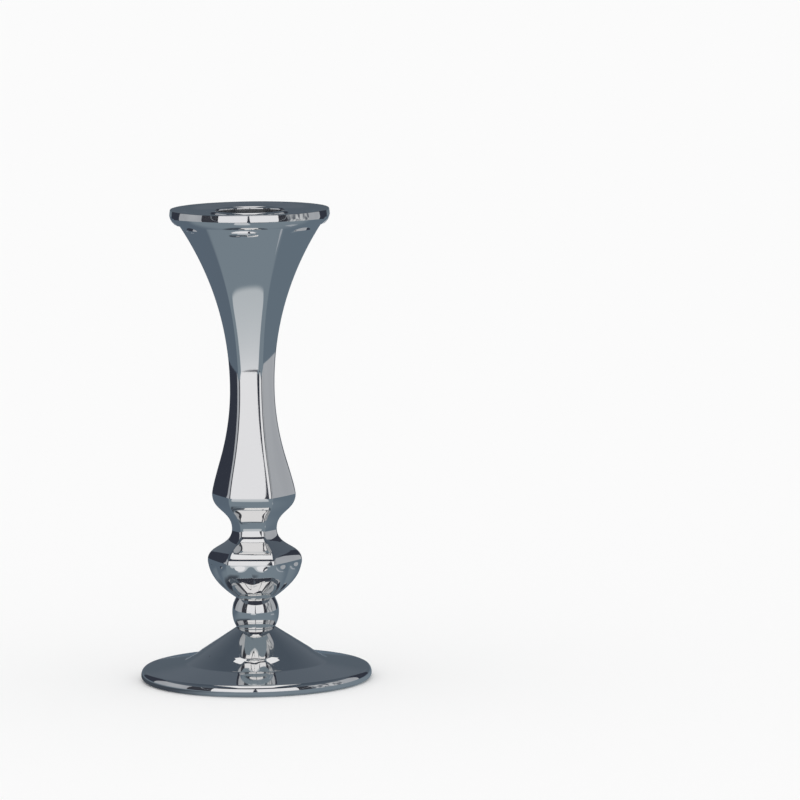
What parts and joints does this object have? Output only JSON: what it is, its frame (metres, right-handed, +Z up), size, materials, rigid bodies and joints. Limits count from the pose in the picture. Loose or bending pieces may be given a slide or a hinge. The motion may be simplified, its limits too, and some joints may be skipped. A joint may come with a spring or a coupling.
{
  "type": "candlestick",
  "caption": "Weighted metal candlestick with a six-sided flared stem, a lobed knop, a round domed foot and a lift-out candle cup with a drip pan.",
  "frame": {"origin": "centre of the underside, on the table", "axes": "+Z up along the stem, one flat face of the six-sided stem looks along -Y"},
  "size_m": [0.073, 0.073, 0.1493],
  "materials": {
    "silver": "mirror-polished silver, lightly hand rubbed",
    "brass": "turned, unpolished",
    "steel": "zinc-plated",
    "filler": "cast plaster and pitch filler, matte",
    "felt": "pressed wool baize"
  },
  "bodies": {
    "stick": {"column": "silver", "socket_sleeve": "silver", "rod_boss": "brass", "knop_upper": "silver", "knop_lower": "silver", "collar": "silver", "foot": "silver", "foot_weight": "filler", "closing_plate": "steel", "tie_rod": "steel", "clamp_washer": "steel", "clamp_nut": "brass", "felt_pad": "felt"},
    "nozzle": {"drip_pan": "silver", "candle_cup": "silver"}
  },
  "joints": [
    {"name": "nozzle_lift", "type": "slide", "parent": "stick", "child": "nozzle", "axis": [0, 0, 1], "range_m": [0, 0.03]}
  ]
}
